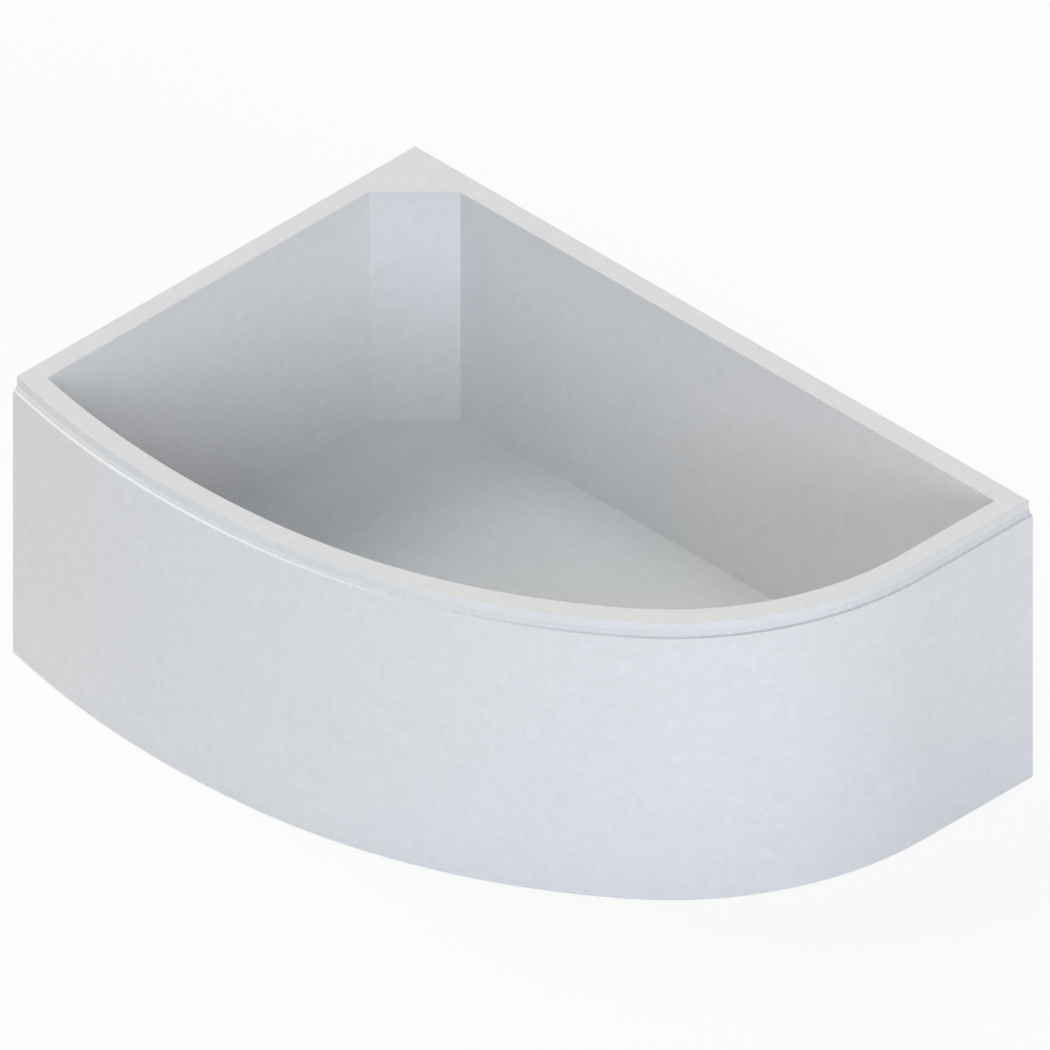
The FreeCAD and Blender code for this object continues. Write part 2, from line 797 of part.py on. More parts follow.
def overflow_ring():
    """Chrome ring on the inner seat: its tail goes through the wall and a guide in it carries the spindle."""
    tail_length = seat_outer + overflow_seal_thickness + overflow_tail_reach - seat_inner
    tail_bore = overflow_tail_radius - overflow_tail_wall
    front = at(overflow_u, seat_inner - overflow_ring_thickness, overflow_z)
    ring = rod(overflow_ring_radius, overflow_ring_thickness, front, OUTWARD)
    ring = ring.makeFillet(overflow_ring_thickness / 3, [e for e in ring.Edges if len(e.Vertexes) == 1
                                                         and abs(e.Vertexes[0].Y - front.y) < TOUCH])
    ring = ring.fuse(rod(overflow_tail_radius, tail_length, at(overflow_u, seat_inner, overflow_z), OUTWARD))
    ring = ring.cut(rod(tail_bore, tail_length + overflow_ring_thickness, front, OUTWARD))
    guide_length = overflow_ring_thickness + shell_wall
    guide = three_arm_guide(tail_bore, spindle_hub_radius, guide_arm, guide_length)
    guide.rotate(FreeCAD.Vector(0, 0, 0), FreeCAD.Vector(1, 0, 0), 90)
    guide.translate(front)
    bore = rod(spindle_radius + running_clearance, guide_length, front, OUTWARD)
    return ring.fuse(guide).cut(bore).removeSplitter()


def overflow_seal():
    inner = overflow_tail_radius + waste_hole_clearance / 2
    seat = at(overflow_u, seat_outer, overflow_z)
    return tube(overflow_ring_radius, inner, seat, overflow_seal_thickness, OUTWARD)


overflow_back = pipe_v + pipe_radius + socket_wall
socket_top = overflow_z - overflow_chamber_radius
socket_bottom = socket_top - socket_length


def overflow_body():
    """Shallow round chamber behind the wall with a pipe socket below and a cable gland beside it."""
    face = at(overflow_u, overflow_front, overflow_z)
    depth = overflow_back - overflow_front
    inside = overflow_chamber_radius - overflow_chamber_wall
    body = rod(overflow_chamber_radius, depth, face, OUTWARD)
    body = body.fuse(rod(overflow_flange_radius, overflow_flange, face, OUTWARD))
    socket = rod(pipe_radius + socket_wall, overflow_z - socket_bottom, at(overflow_u, pipe_v, socket_bottom))
    gland_bottom = gland_mouth_z()
    gland = rod(gland_radius, overflow_z - gland_bottom, at(overflow_u + gland_side, pipe_v, gland_bottom))
    body = body.fuse([socket, gland])
    spaces = [rod(inside, depth - overflow_chamber_wall, face, OUTWARD),
              rod(pipe_radius - pipe_wall, overflow_z - socket_bottom, at(overflow_u, pipe_v, socket_bottom)),
              rod(pipe_radius + fixing_clearance, socket_depth, at(overflow_u, pipe_v, socket_bottom)),
              rod(gland_bore_radius, gland_depth,
                                at(overflow_u + gland_side, pipe_v, gland_bottom))]
    return body.cut(spaces)


def gland_mouth_z():
    chord = math.sqrt(overflow_chamber_radius ** 2 - gland_side ** 2)
    return overflow_z - chord - gland_length


def swept(radius, points, bend):
    """Round bar along two straight runs with a tangent bend between them."""
    start, corner, stop = points
    back = (start - corner).normalize()
    onward = (stop - corner).normalize()
    first, last = corner + back * bend, corner + onward * bend
    centre = first + onward * bend
    middle = centre + (corner - centre).normalize() * bend
    bend_edge = Part.Arc(first, middle, last).toShape()
    path = Part.Wire([Part.makeLine(start, first), bend_edge, Part.makeLine(last, stop)])
    section = Part.Wire(Part.makeCircle(radius, start, back * -1))
    return path.makePipeShell([section], True, False)


def overflow_pipe():
    """Rigid pipe from the overflow socket, down behind the panel and back under the floor to the waste."""
    socket_mouth = waste_v + chamber_radius + socket_length
    points = (at(overflow_u, pipe_v, socket_bottom + socket_depth), at(overflow_u, pipe_v, pipe_height),
              at(waste_u, socket_mouth - socket_depth, pipe_height))
    outer = swept(pipe_radius, points, pipe_bend_radius)
    return outer.cut(swept(pipe_radius - pipe_wall, points, pipe_bend_radius))


knob_back = seat_inner - overflow_ring_thickness - knob_gap
knob_face = knob_back - knob_thickness


def overflow_knob():
    """Round knob with a bar grip across it, standing off the ring so that water can pass behind."""
    disc = rod(knob_radius, knob_thickness, at(overflow_u, knob_back, overflow_z), INWARD)
    front = at(overflow_u, knob_face, overflow_z)
    disc = disc.makeFillet(knob_edge_radius, [e for e in disc.Edges if len(e.Vertexes) == 1
                                              and abs(e.Vertexes[0].Y - front.y) < TOUCH])
    half_length, half_width = grip_length / 2, grip_width / 2
    grip = block((overflow_u - half_length, overflow_u + half_length), (knob_face - grip_height, knob_face),
                 (overflow_z - half_width, overflow_z + half_width))
    rounded = [e for e in grip.Edges if e.BoundBox.YMax > front.y + grip_height / 4]
    grip = grip.makeFillet(grip_edge_radius, rounded)
    socket = rod(spindle_radius, spindle_socket, at(overflow_u, knob_back, overflow_z), INWARD)
    return disc.fuse(grip).cut(socket).removeSplitter()


def knob_spindle():
    """Spindle through the ring's guide, with a crank disc for the cable inside the chamber."""
    start = at(overflow_u, knob_back - spindle_socket, overflow_z)
    crank_start = overflow_front + spindle_reach
    length = crank_start + crank_thickness - knob_back + spindle_socket
    spindle = rod(spindle_radius, length, start, OUTWARD)
    crank = rod(crank_radius, crank_thickness, at(overflow_u, crank_start, overflow_z), OUTWARD)
    return spindle.fuse(crank).removeSplitter()


def bar_catches():
    """Normal angle of the front beside each cross-bar's middle, where a bottom clip sits."""
    return [(front_angle(u, 0.0)[0], None) for u in bar_places.values()]


def build_parts():
    back, left, front = rim_battens()
    top_rail = panel_rail(tongue_top - bracket_sheet / 2)
    bottom_rail = panel_rail(bar_clearance - bracket_sheet / 2)
    parts = {
        "tub_shell": tub_shell(),
        "base_board": base_board(),
        "back_rim_batten": back,
        "left_rim_batten": left,
        "front_rim_batten": front,
        "corner_rim_block": corner_rim_block(),
        "bar_screws": bar_screws(),
        "foot_nuts": foot_nuts(),
        "wall_bracket_side": side_wall_bracket(side_bracket_place),
        "bracket_screws": bracket_screws(),
        "front_panel": front_panel(),
        "panel_top_trim": panel_top_trim(),
        "panel_top_rail": top_rail,
        "panel_bottom_rail": bottom_rail,
        "panel_clips_top": clips(tongue_top, stations(), top_rail),
        "panel_clips_bottom": clips(bar_clearance, bar_catches(), bottom_rail),
        "waste_flange": waste_flange(),
        "waste_seal": waste_seal(),
        "waste_body": waste_body(),
        "waste_spigot": waste_spigot(),
        "lever_pin": lever_pin_bar(0.0),
        "lift_lever": lift_lever(),
        "plug_cap": plug_cap(),
        "plug_seal": plug_seal(),
        "plug_stem": plug_stem(),
        "overflow_ring": overflow_ring(),
        "overflow_seal": overflow_seal(),
        "overflow_body": overflow_body(),
        "overflow_pipe": overflow_pipe(),
        "overflow_knob": overflow_knob(),
        "knob_spindle": knob_spindle(),
    }
    for name, u in bar_places.items():
        parts[f"cross_bar_{name}"] = cross_bar(u)
        parts[f"bottom_bracket_{name}"] = bottom_bracket(u)
    for name, u in back_bracket_places.items():
        parts[f"wall_bracket_back_{name}"] = back_wall_bracket(u)
    for number, (angle, v) in enumerate(stations(), 1):
        parts[f"top_bracket_{number}"] = stationed(top_bracket(), angle, v)
    for number, (u, v) in enumerate(foot_places(), 1):
        parts[f"foot_pad_{number}"] = foot_pad(u, v)
        parts[f"foot_stud_{number}"] = foot_stud(u, v)
    return parts


def main():
    os.makedirs("parts", exist_ok=True)
    footprint = front_point(90.0, panel_outer)[1]
    centre = FreeCAD.Vector(-(rim_length + panel_outer) / 2, footprint / 2, 0)
    for name, shape in build_parts().items():
        shape = shape.copy()
        shape.translate(centre)
        solids = shape.Solids
        print(name, len(solids), "solids", shape.isValid(), round(shape.Volume / 1000.0, 2), "cm3")
        shape.exportStep(os.path.join("parts", f"{name}.step"))
    print("overflow axis", overflow_u + centre.x, -seat_inner + centre.y, overflow_z)
    print("waste axis", waste_u + centre.x, -waste_v + centre.y, floor_top)
    print("lever pivot", -pivot_v + centre.y, pivot_z, "swing", lever_swing)
    print("rim width at the short wall", front_v(0.0, 0.0), "footprint", rim_length + panel_outer, footprint)


main()
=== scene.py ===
"""Corner bathtub: finishes of every surface, small turned and threaded forms, studio light and camera."""
import json
import math

import bpy
from mathutils import Matrix, Vector


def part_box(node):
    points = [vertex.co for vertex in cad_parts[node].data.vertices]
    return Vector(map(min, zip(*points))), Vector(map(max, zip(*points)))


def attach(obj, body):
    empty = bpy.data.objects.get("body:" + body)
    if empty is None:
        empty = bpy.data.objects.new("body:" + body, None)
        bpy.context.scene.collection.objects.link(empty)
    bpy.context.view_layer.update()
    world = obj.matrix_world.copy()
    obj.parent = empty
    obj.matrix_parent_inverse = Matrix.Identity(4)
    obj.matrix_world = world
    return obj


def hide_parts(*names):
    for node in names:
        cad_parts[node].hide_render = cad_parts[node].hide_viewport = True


# The view: a parallel projection along the diagonal of a cube
IMAGE_SIDE = 1050
PIXELS_PER_METRE = 563.7
RIM_CORNER = Vector((-0.775, 0.53012, 0.598))
RIM_CORNER_PIXEL = (415.05, 145.74)
VIEW_FROM = Vector((1.0, -1.0, 1.0)).normalized()
VIEW_RIGHT = Vector((1.0, 1.0, 0.0)).normalized()
CAMERA_DISTANCE = 6.0

# Floor and backdrop
FLOOR_SIDE = 60.0
FLOOR_COLOUR = (0.85, 0.85, 0.85, 1.0)
FLOOR_ROUGHNESS = 0.9
FLOOR_WHITE = (1.0, 1.0, 1.0, 1.0)
FLOOR_WHITE_SHARE = 0.88
BACKDROP_WHITE = (0.984, 0.984, 0.984, 1.0)

# Soft lamps: azimuth, elevation and spread in degrees, colour and strength
LAMPS = {
    "key_lamp": (70.0, 15.0, 25.0, (0.89, 0.92, 1.0), 1.43),
    "front_lamp": (20.0, 35.0, 60.0, (0.78, 0.88, 1.0), 0.96),
    "left_lamp": (270.0, 35.0, 60.0, (1.0, 0.82, 0.64), 1.77),
    "high_left_lamp": (270.0, 60.0, 25.0, (0.76, 0.93, 1.0), 0.63),
    "back_lamp": (200.0, 30.0, 60.0, (1.0, 1.0, 1.0), 0.5),
}
AMBIENT_COLOUR = (0.90, 0.95, 1.0, 1.0)
AMBIENT_STRENGTH = 0.2

# White acrylic, with the share by which its mottle is paler or dimmer
ACRYLIC = (0.715, 0.715, 0.715)
MOTTLE = 0.039
NOISE_MIDDLE = 0.5

# Glass-fibre laminate on the backs of the acrylic: what counts as a back, and its strands
BASIN_MIDDLE = (-0.10, 0.05, 0.35)
WALL_DISTANCE = 0.65
LIP_BOTTOM = 0.5635
ABOVE_PANEL = 1.0
BACK_FACING = 0.02
UNDERSIDE_FACING = -0.7
STRAND_TURNS = (0.25, 0.95, 1.6, 2.35, 2.9)
STRAND_STRETCH = (34.0, 520.0, 1.0)
STRAND_COVER = 0.6
STRAND_COLOUR = (0.80, 0.79, 0.72)
RESIN_COLOURS = ((0.30, (0.58, 0.57, 0.45)), (0.55, (0.68, 0.67, 0.57)), (0.75, (0.72, 0.71, 0.63)))

# Wood: rings in the span of a noise, and a circle near the curved front, along which the grain runs
GROWTH_RINGS = 9.0
ARC_MIDDLE = (0.0, 0.45, 0.0)
ARC_RADIUS = 0.8

# Plastics: dark and pale colour, roughness and depth of the grain
PLASTICS = {
    "foot_plastic": ((0.022, 0.022, 0.024), (0.045, 0.045, 0.048), 0.48, 0.0003),
    "white_polypropylene": ((0.62, 0.62, 0.60), (0.72, 0.72, 0.70), 0.42, 0.0002),
    "matt_seal": ((0.68, 0.68, 0.68), (0.71, 0.71, 0.71), 0.6, 0.0001),
    "gloss_trim": ((0.63, 0.63, 0.63), (0.67, 0.67, 0.67), 0.26, 0.00002),
}
PLASTIC_SHINE_SPREAD = 0.06

# Front outline of the rim, in metres from its back corner: a straight end and three arcs, swept in degrees
RIM_LENGTH = 1.540
END_STRAIGHT = 0.276
ARC_RADII = (0.624, 1.315, 1.847)
ARC_SWEEPS = (51.9, 32.0)
ARC_STEPS = 48

# Sections of the seal and the trim on the panel's top edge: distance out from the rim's lip, and height
SEAL_SECTION = ((0.0001, 0.5660), (0.0001, 0.5790), (0.0050, 0.5716), (0.0050, 0.5660))
TRIM_SECTION = ((0.0050, 0.5660), (0.0050, 0.5716), (0.0093, 0.5700), (0.0060, 0.5700), (0.0060, 0.5660))

# Screw threads, in metres; as shares of half a pitch, where the crest starts and how far a flank reaches
STUD_SCREW = {
    "radius": 0.006,
    "pitch": 0.00175,
    "thread_depth": 0.00107,
    "chamfer": 0.0012,
    "step": 0.00025,
}
OUTLET_SCREW = {
    "radius": 0.0239,
    "pitch": 0.00231,
    "thread_depth": 0.00148,
    "chamfer": 0.0015,
    "step": 0.0003,
}
CREST_START = 0.80
FLANK_REACH = 0.62

# Adjustable feet, in metres; a profile is a row of heights and radii
FEET = 6
STUD_SEGMENTS = 20
NUT_LOWS = (0.048, 0.058)
NUT_HEIGHT = 0.008
NUT_FLATS = 0.018
NUT_BORE = 0.0061
NUT_COUNTERSINK = 0.0007
NUT_CHAMFER = 0.0009
NUT_CHAMFER_SLOPE = 1.73
NUT_CHAMFER_STEPS = 4
NUT_SEGMENTS = 72
PAD_EDGE = ((0.0, 0.0238), (0.0008, 0.0247), (0.0016, 0.0250), (0.0052, 0.0250), (0.0068, 0.0246),
            (0.0077, 0.0238))
PAD_GROOVE = ((0.0080, 0.0222), (0.0074, 0.0208), (0.0074, 0.0160), (0.0080, 0.0146))
PAD_HUB = ((0.0086, 0.0138), (0.0150, 0.0123), (0.0157, 0.0119), (0.0160, 0.0112))
PAD_SOCKET = ((0.0160, 0.0070), (0.0152, 0.0062), (0.004, 0.0062))
PAD_GRIPS = 20
PAD_GRIP_DEPTH = 0.0012
PAD_RIBS = 12
PAD_RIB_DEPTH = 0.0009
PAD_SEGMENTS = 160

# Outlet of the waste, in metres
OUTLET_BORE = 0.0204
OUTLET_PLATE = 0.003
OUTLET_THREAD = 0.020
OUTLET_SEGMENTS = 64

# Edges of the added pieces that turn by more than this, in degrees, stay sharp
SHARP_ANGLE = 38.0

# Sockets of a node that mixes colours: its share, its two colours and its result
MIX_SHARE, MIX_FIRST, MIX_SECOND = 0, 6, 7
MIX_RESULT = 2

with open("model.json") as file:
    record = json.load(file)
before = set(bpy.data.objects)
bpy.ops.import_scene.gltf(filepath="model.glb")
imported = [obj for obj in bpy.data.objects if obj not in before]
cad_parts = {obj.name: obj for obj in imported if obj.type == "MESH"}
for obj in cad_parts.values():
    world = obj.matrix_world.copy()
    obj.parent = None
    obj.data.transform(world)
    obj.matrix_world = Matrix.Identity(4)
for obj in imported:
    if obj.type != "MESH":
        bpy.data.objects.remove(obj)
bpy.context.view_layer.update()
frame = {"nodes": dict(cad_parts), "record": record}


class Nodes:
    """A node tree. Most methods add a node and give back the socket that carries its result."""

    def __init__(self, tree):
        self.tree = tree

    def put(self, socket, value):
        if isinstance(value, bpy.types.NodeSocket):
            self.tree.links.new(value, socket)
        else:
            socket.default_value = value

    def node(self, kind, settings=(), **inputs):
        made = self.tree.nodes.new(kind)
        for key, value in dict(settings).items():
            setattr(made, key, value)
        for key, value in inputs.items():
            self.put(made.inputs[key.replace("_", " ")], value)
        return made

    def math(self, operation, first, second=0.0):
        made = self.node("ShaderNodeMath", {"operation": operation})
        self.put(made.inputs[0], first)
        self.put(made.inputs[1], second)
        return made.outputs[0]

    def seen_directly(self):
        """1 for a ray that the camera sees, also by reflection or through glass, and otherwise 0."""
        path = self.node("ShaderNodeLightPath").outputs
        seen = self.math("MAXIMUM", path["Is Camera Ray"], path["Is Glossy Ray"])
        return self.math("MAXIMUM", seen, path["Is Transmission Ray"])

    def blend_shaders(self, share, first, second):
        made = self.node("ShaderNodeMixShader", Fac=share)
        self.put(made.inputs[1], first)
        self.put(made.inputs[2], second)
        return made.outputs[0]


class Finish(Nodes):
    """One node material, with its shader, the normal of the surface and the place on it."""

    def __init__(self, name):
        self.material = bpy.data.materials.new(name)
        self.material.use_nodes = True
        super().__init__(self.material.node_tree)
        self.shader = self.tree.nodes["Principled BSDF"]
        self.output = self.tree.nodes["Material Output"]
        self.normal = self.node("ShaderNodeNewGeometry").outputs["True Normal"]
        self.place = self.node("ShaderNodeTexCoord").outputs["Object"]

    def vector(self, operation, first, second=(0.0, 0.0, 0.0)):
        made = self.node("ShaderNodeVectorMath", {"operation": operation})
        self.put(made.inputs[0], first)
        self.put(made.inputs[1], second)
        return made.outputs["Value" if operation in ("DOT_PRODUCT", "LENGTH") else "Vector"]

    def wavy(self, vector, scale, reach):
        """The vector pushed sideways by a slow noise, by up to about this reach."""
        push = self.node("ShaderNodeTexNoise", Vector=vector, Scale=scale).outputs["Color"]
        centred = self.vector("SUBTRACT", push, (NOISE_MIDDLE, NOISE_MIDDLE, NOISE_MIDDLE))
        return self.vector("ADD", vector, self.vector("MULTIPLY", centred, (reach, reach, reach)))

    def parts(self, vector):
        return self.node("ShaderNodeSeparateXYZ", Vector=vector).outputs

    def joined(self, x, y, z):
        return self.node("ShaderNodeCombineXYZ", X=x, Y=y, Z=z).outputs[0]

    def stretched(self, vector, scale, turn=0.0):
        rotation = (0.0, 0.0, turn)
        return self.node("ShaderNodeMapping", Vector=vector, Scale=scale, Rotation=rotation).outputs[0]

    def noise(self, vector, scale=1.0, detail=4.0, roughness=0.55, distortion=0.0):
        made = self.node("ShaderNodeTexNoise", Vector=vector, Scale=scale, Detail=detail,
                         Roughness=roughness, Distortion=distortion)
        return made.outputs[0]

    def cells(self, vector, scale=1.0, output="Color"):
        return self.node("ShaderNodeTexVoronoi", Vector=vector, Scale=scale).outputs[output]

    def spread(self, value, span, onto=(0.0, 1.0)):
        """The value with the limits of one span carried onto those of another, and held inside them."""
        made = self.node("ShaderNodeMapRange", Value=value, From_Min=span[0], From_Max=span[1],
                         To_Min=onto[0], To_Max=onto[1])
        return made.outputs[0]

    def ramp(self, value, *stops):
        made = self.node("ShaderNodeValToRGB", Fac=value)
        elements = made.color_ramp.elements
        while len(elements) < len(stops):
            elements.new(0.5)
        for element, (position, colour) in zip(elements, stops):
            element.position = position
            element.color = (*colour, 1.0)
        return made.outputs[0]

    def mix(self, share, first, second):
        made = self.node("ShaderNodeMix", {"data_type": "RGBA"})
        for index, value in ((MIX_SHARE, share), (MIX_FIRST, first), (MIX_SECOND, second)):
            if isinstance(value, tuple):
                value = (*value, 1.0)
            self.put(made.inputs[index], value)
        return made.outputs[MIX_RESULT]

    def bump(self, height, strength, distance, below=None):
        made = self.node("ShaderNodeBump", Height=height, Strength=strength, Distance=distance)
        if below is not None:
            self.put(made.inputs["Normal"], below)
        return made.outputs[0]

    def finish(self, colour, roughness, normal, **fixed):
        """Links the shader; fixed values that are the same all over go straight to its own sockets."""
        self.put(self.shader.inputs["Base Color"], colour)
        self.put(self.shader.inputs["Roughness"], roughness)
        self.put(self.shader.inputs["Normal"], normal)
        for key, value in fixed.items():
            self.shader.inputs[key.replace("_", " ")].default_value = value
        return self.material

    def along_arc(self):
        """Place as length round the curved front, distance from its middle, and height."""
        x, y, z = self.parts(self.vector("SUBTRACT", self.place, ARC_MIDDLE))
        angle = self.math("ARCTAN2", y, x)
        flat = self.vector("LENGTH", self.joined(x, y, 0.0))
        return self.joined(self.math("MULTIPLY", angle, ARC_RADIUS), flat, z)

    def around_basin(self):
        """Place as length round the basin's middle, and height."""
        x, y, z = self.parts(self.vector("SUBTRACT", self.place, BASIN_MIDDLE))
        angle = self.math("ARCTAN2", y, x)
        return self.joined(self.math("MULTIPLY", angle, WALL_DISTANCE), z, 0.0)

    def laminate(self):
        """Chopped glass strands, as 0 to 1, and the colour of the resin that they lie in."""
        bent = self.wavy(self.around_basin(), scale=14.0, reach=0.05)
        strands = None
        for turn in STRAND_TURNS:
            streak = self.noise(self.stretched(bent, STRAND_STRETCH, turn), detail=1.0, roughness=0.5)
            streak = self.spread(streak, (0.57, 0.70))
            strands = streak if strands is None else self.math("MAXIMUM", strands, streak)
        resin = self.ramp(self.noise(self.place, scale=7.0, detail=5.0, roughness=0.6), *RESIN_COLOURS)
        return strands, resin

    def facing_out(self):
        """How far the surface faces away from the middle of the basin, from -1 to 1."""
        x, y, _ = self.parts(self.vector("SUBTRACT", self.place, BASIN_MIDDLE))
        outward = self.vector("NORMALIZE", self.joined(x, y, 0.0))
        return self.vector("DOT_PRODUCT", self.normal, outward)


def acrylic(name, back_sign, back_top):
    """White acrylic with a faint mottle; its back, up to a height, is bare glass-fibre laminate."""
    made = Finish(name)
    smudges = made.noise(made.place, scale=42.0, detail=8.0, roughness=0.82, distortion=0.5)
    fine = made.noise(made.place, scale=420.0, detail=2.0)
    clumps = made.spread(made.noise(made.place, scale=14.0, detail=2.0), (0.35, 0.65), onto=(0.5, 1.3))
    centred = made.math("SUBTRACT", smudges, NOISE_MIDDLE)
    mottle = made.math("ADD", made.math("MULTIPLY", centred, clumps), NOISE_MIDDLE)
    pale = tuple((1.0 + MOTTLE) * level for level in ACRYLIC)
    dim = tuple((1.0 - MOTTLE) * level for level in ACRYLIC)
    face = made.mix(made.spread(mottle, (0.36, 0.64)), dim, pale)

    strands, resin = made.laminate()
    laminate = made.mix(made.math("MULTIPLY", strands, STRAND_COVER), resin, STRAND_COLOUR)
    outward = made.math("MULTIPLY", made.facing_out(), back_sign)
    height = made.parts(made.place)[2]
    is_low = made.math("LESS_THAN", height, back_top)
    back = made.math("MULTIPLY", made.math("GREATER_THAN", outward, BACK_FACING), is_low)
    if back_sign > 0:
        under = made.math("LESS_THAN", made.parts(made.normal)[2], UNDERSIDE_FACING)
        back = made.math("MAXIMUM", back, under)

    roughness = made.spread(smudges, (0.3, 0.7), onto=(0.60, 0.68))
    smooth = made.bump(fine, strength=0.03, distance=0.0003)
    normal = made.bump(made.math("MULTIPLY", back, strands), strength=0.7, distance=0.0008, below=smooth)
    return made.finish(made.mix(back, face, laminate), roughness, normal, Specular_IOR_Level=0.15)


def timber(name, direction):
    """Planed softwood with growth rings that run along the batten: along x, y or the curved front."""
    made = Finish(name)
    along = made.along_arc() if direction == "arc" else made.place
    turn = math.pi / 2 if direction == "y" else 0.0
    grain = made.stretched(along, (3.0, 70.0, 70.0), turn)
    years = made.noise(grain, scale=0.7, detail=2.0, roughness=0.4)
    rings = made.math("FRACT", made.math("MULTIPLY", years, GROWTH_RINGS))
    fibres = made.noise(made.stretched(along, (20.0, 900.0, 900.0), turn), detail=2.0)
    knots = made.cells(made.stretched(along, (3.0, 14.0, 14.0), turn), output="Distance")
    wood = made.ramp(rings, (0.0, (0.66, 0.48, 0.28)), (0.7, (0.58, 0.38, 0.19)),
                     (1.0, (0.44, 0.26, 0.11)))
    wood = made.mix(made.spread(fibres, (0.3, 0.7), onto=(0.0, 0.45)), wood, (0.72, 0.56, 0.36))
    wood = made.mix(made.spread(knots, (0.05, 0.16), onto=(0.8, 0.0)), wood, (0.22, 0.11, 0.05))
    roughness = made.spread(fibres, (0.2, 0.8), onto=(0.55, 0.78))
    return made.finish(wood, roughness, made.bump(fibres, strength=0.25, distance=0.0003))


def plywood():
    made = Finish("plywood")
    along = made.along_arc()
    fibres = made.noise(made.stretched(along, (14.0, 700.0, 420.0)), detail=3.0)
    broad = made.stretched(along, (2.5, 40.0, 30.0))
    figure = made.noise(broad, detail=3.0, roughness=0.5, distortion=0.8)
    face = made.ramp(figure, (0.3, (0.46, 0.31, 0.17)), (0.5, (0.60, 0.44, 0.27)),
                     (0.7, (0.68, 0.53, 0.35)))
    face = made.mix(made.spread(fibres, (0.35, 0.65), onto=(0.0, 0.4)), face, (0.40, 0.26, 0.13))
    roughness = made.spread(fibres, (0.3, 0.7), onto=(0.55, 0.75))
    return made.finish(face, roughness, made.bump(fibres, strength=0.3, distance=0.0003))


def chipboard():
    made = Finish("chipboard")
    flakes = made.parts(made.cells(made.stretched(made.place, (160.0, 300.0, 420.0), turn=0.5)))
    chips = made.parts(made.cells(made.stretched(made.place, (420.0, 190.0, 420.0), turn=-0.4)))
    shade = made.math("MULTIPLY", made.math("ADD", flakes[0], chips[1]), 0.5)
    dust = made.noise(made.place, scale=900.0, detail=2.0)
    wood = made.ramp(shade, (0.15, (0.30, 0.19, 0.09)), (0.45, (0.52, 0.38, 0.22)),
                     (0.8, (0.66, 0.52, 0.34)))
    wood = made.mix(made.spread(dust, (0.45, 0.7), onto=(0.0, 0.35)), wood, (0.70, 0.58, 0.40))
    roughness = made.spread(shade, (0.0, 1.0), onto=(0.42, 0.62))
    return made.finish(wood, roughness, made.bump(shade, strength=0.3, distance=0.0004))


def galvanised():
    made = Finish("galvanised_steel")
    spangle = made.parts(made.cells(made.place, scale=150.0))
    clouds = made.noise(made.place, scale=60.0)
    shade = made.math("ADD", made.math("MULTIPLY", spangle[0], 0.6), made.math("MULTIPLY", clouds, 0.4))
    metal = made.ramp(shade, (0.1, (0.44, 0.47, 0.50)), (0.5, (0.60, 0.62, 0.64)),
                      (0.9, (0.74, 0.76, 0.77)))
    roughness = made.spread(spangle[1], (0.0, 1.0), onto=(0.28, 0.50))
    return made.finish(metal, roughness, made.bump(shade, strength=0.12, distance=0.0002), Metallic=1.0)


def zinc():
    made = Finish("zinc_fasteners")
    tint = made.noise(made.place, scale=120.0, detail=3.0)
    spots = made.noise(made.place, scale=900.0, detail=2.0)
    metal = made.ramp(tint, (0.3, (0.56, 0.60, 0.66)), (0.5, (0.68, 0.68, 0.67)),
                      (0.7, (0.72, 0.68, 0.55)))
    roughness = made.spread(spots, (0.3, 0.7), onto=(0.24, 0.42))
    return made.finish(metal, roughness, made.bump(spots, strength=0.1, distance=0.0001), Metallic=1.0)


def spring_steel():
    made = Finish("spring_steel")
    rolled = made.noise(made.stretched(made.place, (30.0, 30.0, 900.0)), detail=3.0)
    heat = made.noise(made.place, scale=40.0, detail=3.0)
    metal = made.ramp(heat, (0.3, (0.26, 0.28, 0.34)), (0.55, (0.40, 0.40, 0.42)),
                      (0.75, (0.44, 0.38, 0.30)))
    roughness = made.spread(rolled, (0.3, 0.7), onto=(0.25, 0.45))
    return made.finish(metal, roughness, made.bump(rolled, strength=0.1, distance=0.0001), Metallic=1.0)


def chrome():
    made = Finish("chrome_trim")
    smears = made.noise(made.place, scale=55.0, roughness=0.6, distortion=0.6)
    spots = made.cells(made.place, scale=260.0, output="Distance")
    marks = made.spread(spots, (0.10, 0.22), onto=(0.05, 0.0))
    metal = made.ramp(smears, (0.3, (0.84, 0.85, 0.87)), (0.7, (0.90, 0.90, 0.91)))
    roughness = made.math("ADD", made.spread(smears, (0.3, 0.7), onto=(0.05, 0.13)), marks)
    return made.finish(metal, roughness, made.bump(smears, strength=0.02, distance=0.0002), Metallic=1.0)


def brass():
    made = Finish("brass_pins")
    turned = made.noise(made.stretched(made.place, (2500.0, 60.0, 60.0)), detail=2.0)
    tarnish = made.noise(made.place, scale=150.0)
    metal = made.ramp(tarnish, (0.3, (0.52, 0.36, 0.14)), (0.6, (0.78, 0.58, 0.26)))
    roughness = made.spread(turned, (0.3, 0.7), onto=(0.20, 0.36))
    return made.finish(metal, roughness, made.bump(turned, strength=0.15, distance=0.0001), Metallic=1.0)


def rubber():
    made = Finish("rubber_seal")
    bloom = made.noise(made.place, scale=90.0, detail=5.0, roughness=0.65)
    grain = made.noise(made.place, scale=1500.0, detail=2.0)
    colour = made.ramp(bloom, (0.35, (0.022, 0.022, 0.024)), (0.7, (0.060, 0.060, 0.062)))
    roughness = made.spread(bloom, (0.3, 0.7), onto=(0.62, 0.82))
    return made.finish(colour, roughness, made.bump(grain, strength=0.3, distance=0.0002))


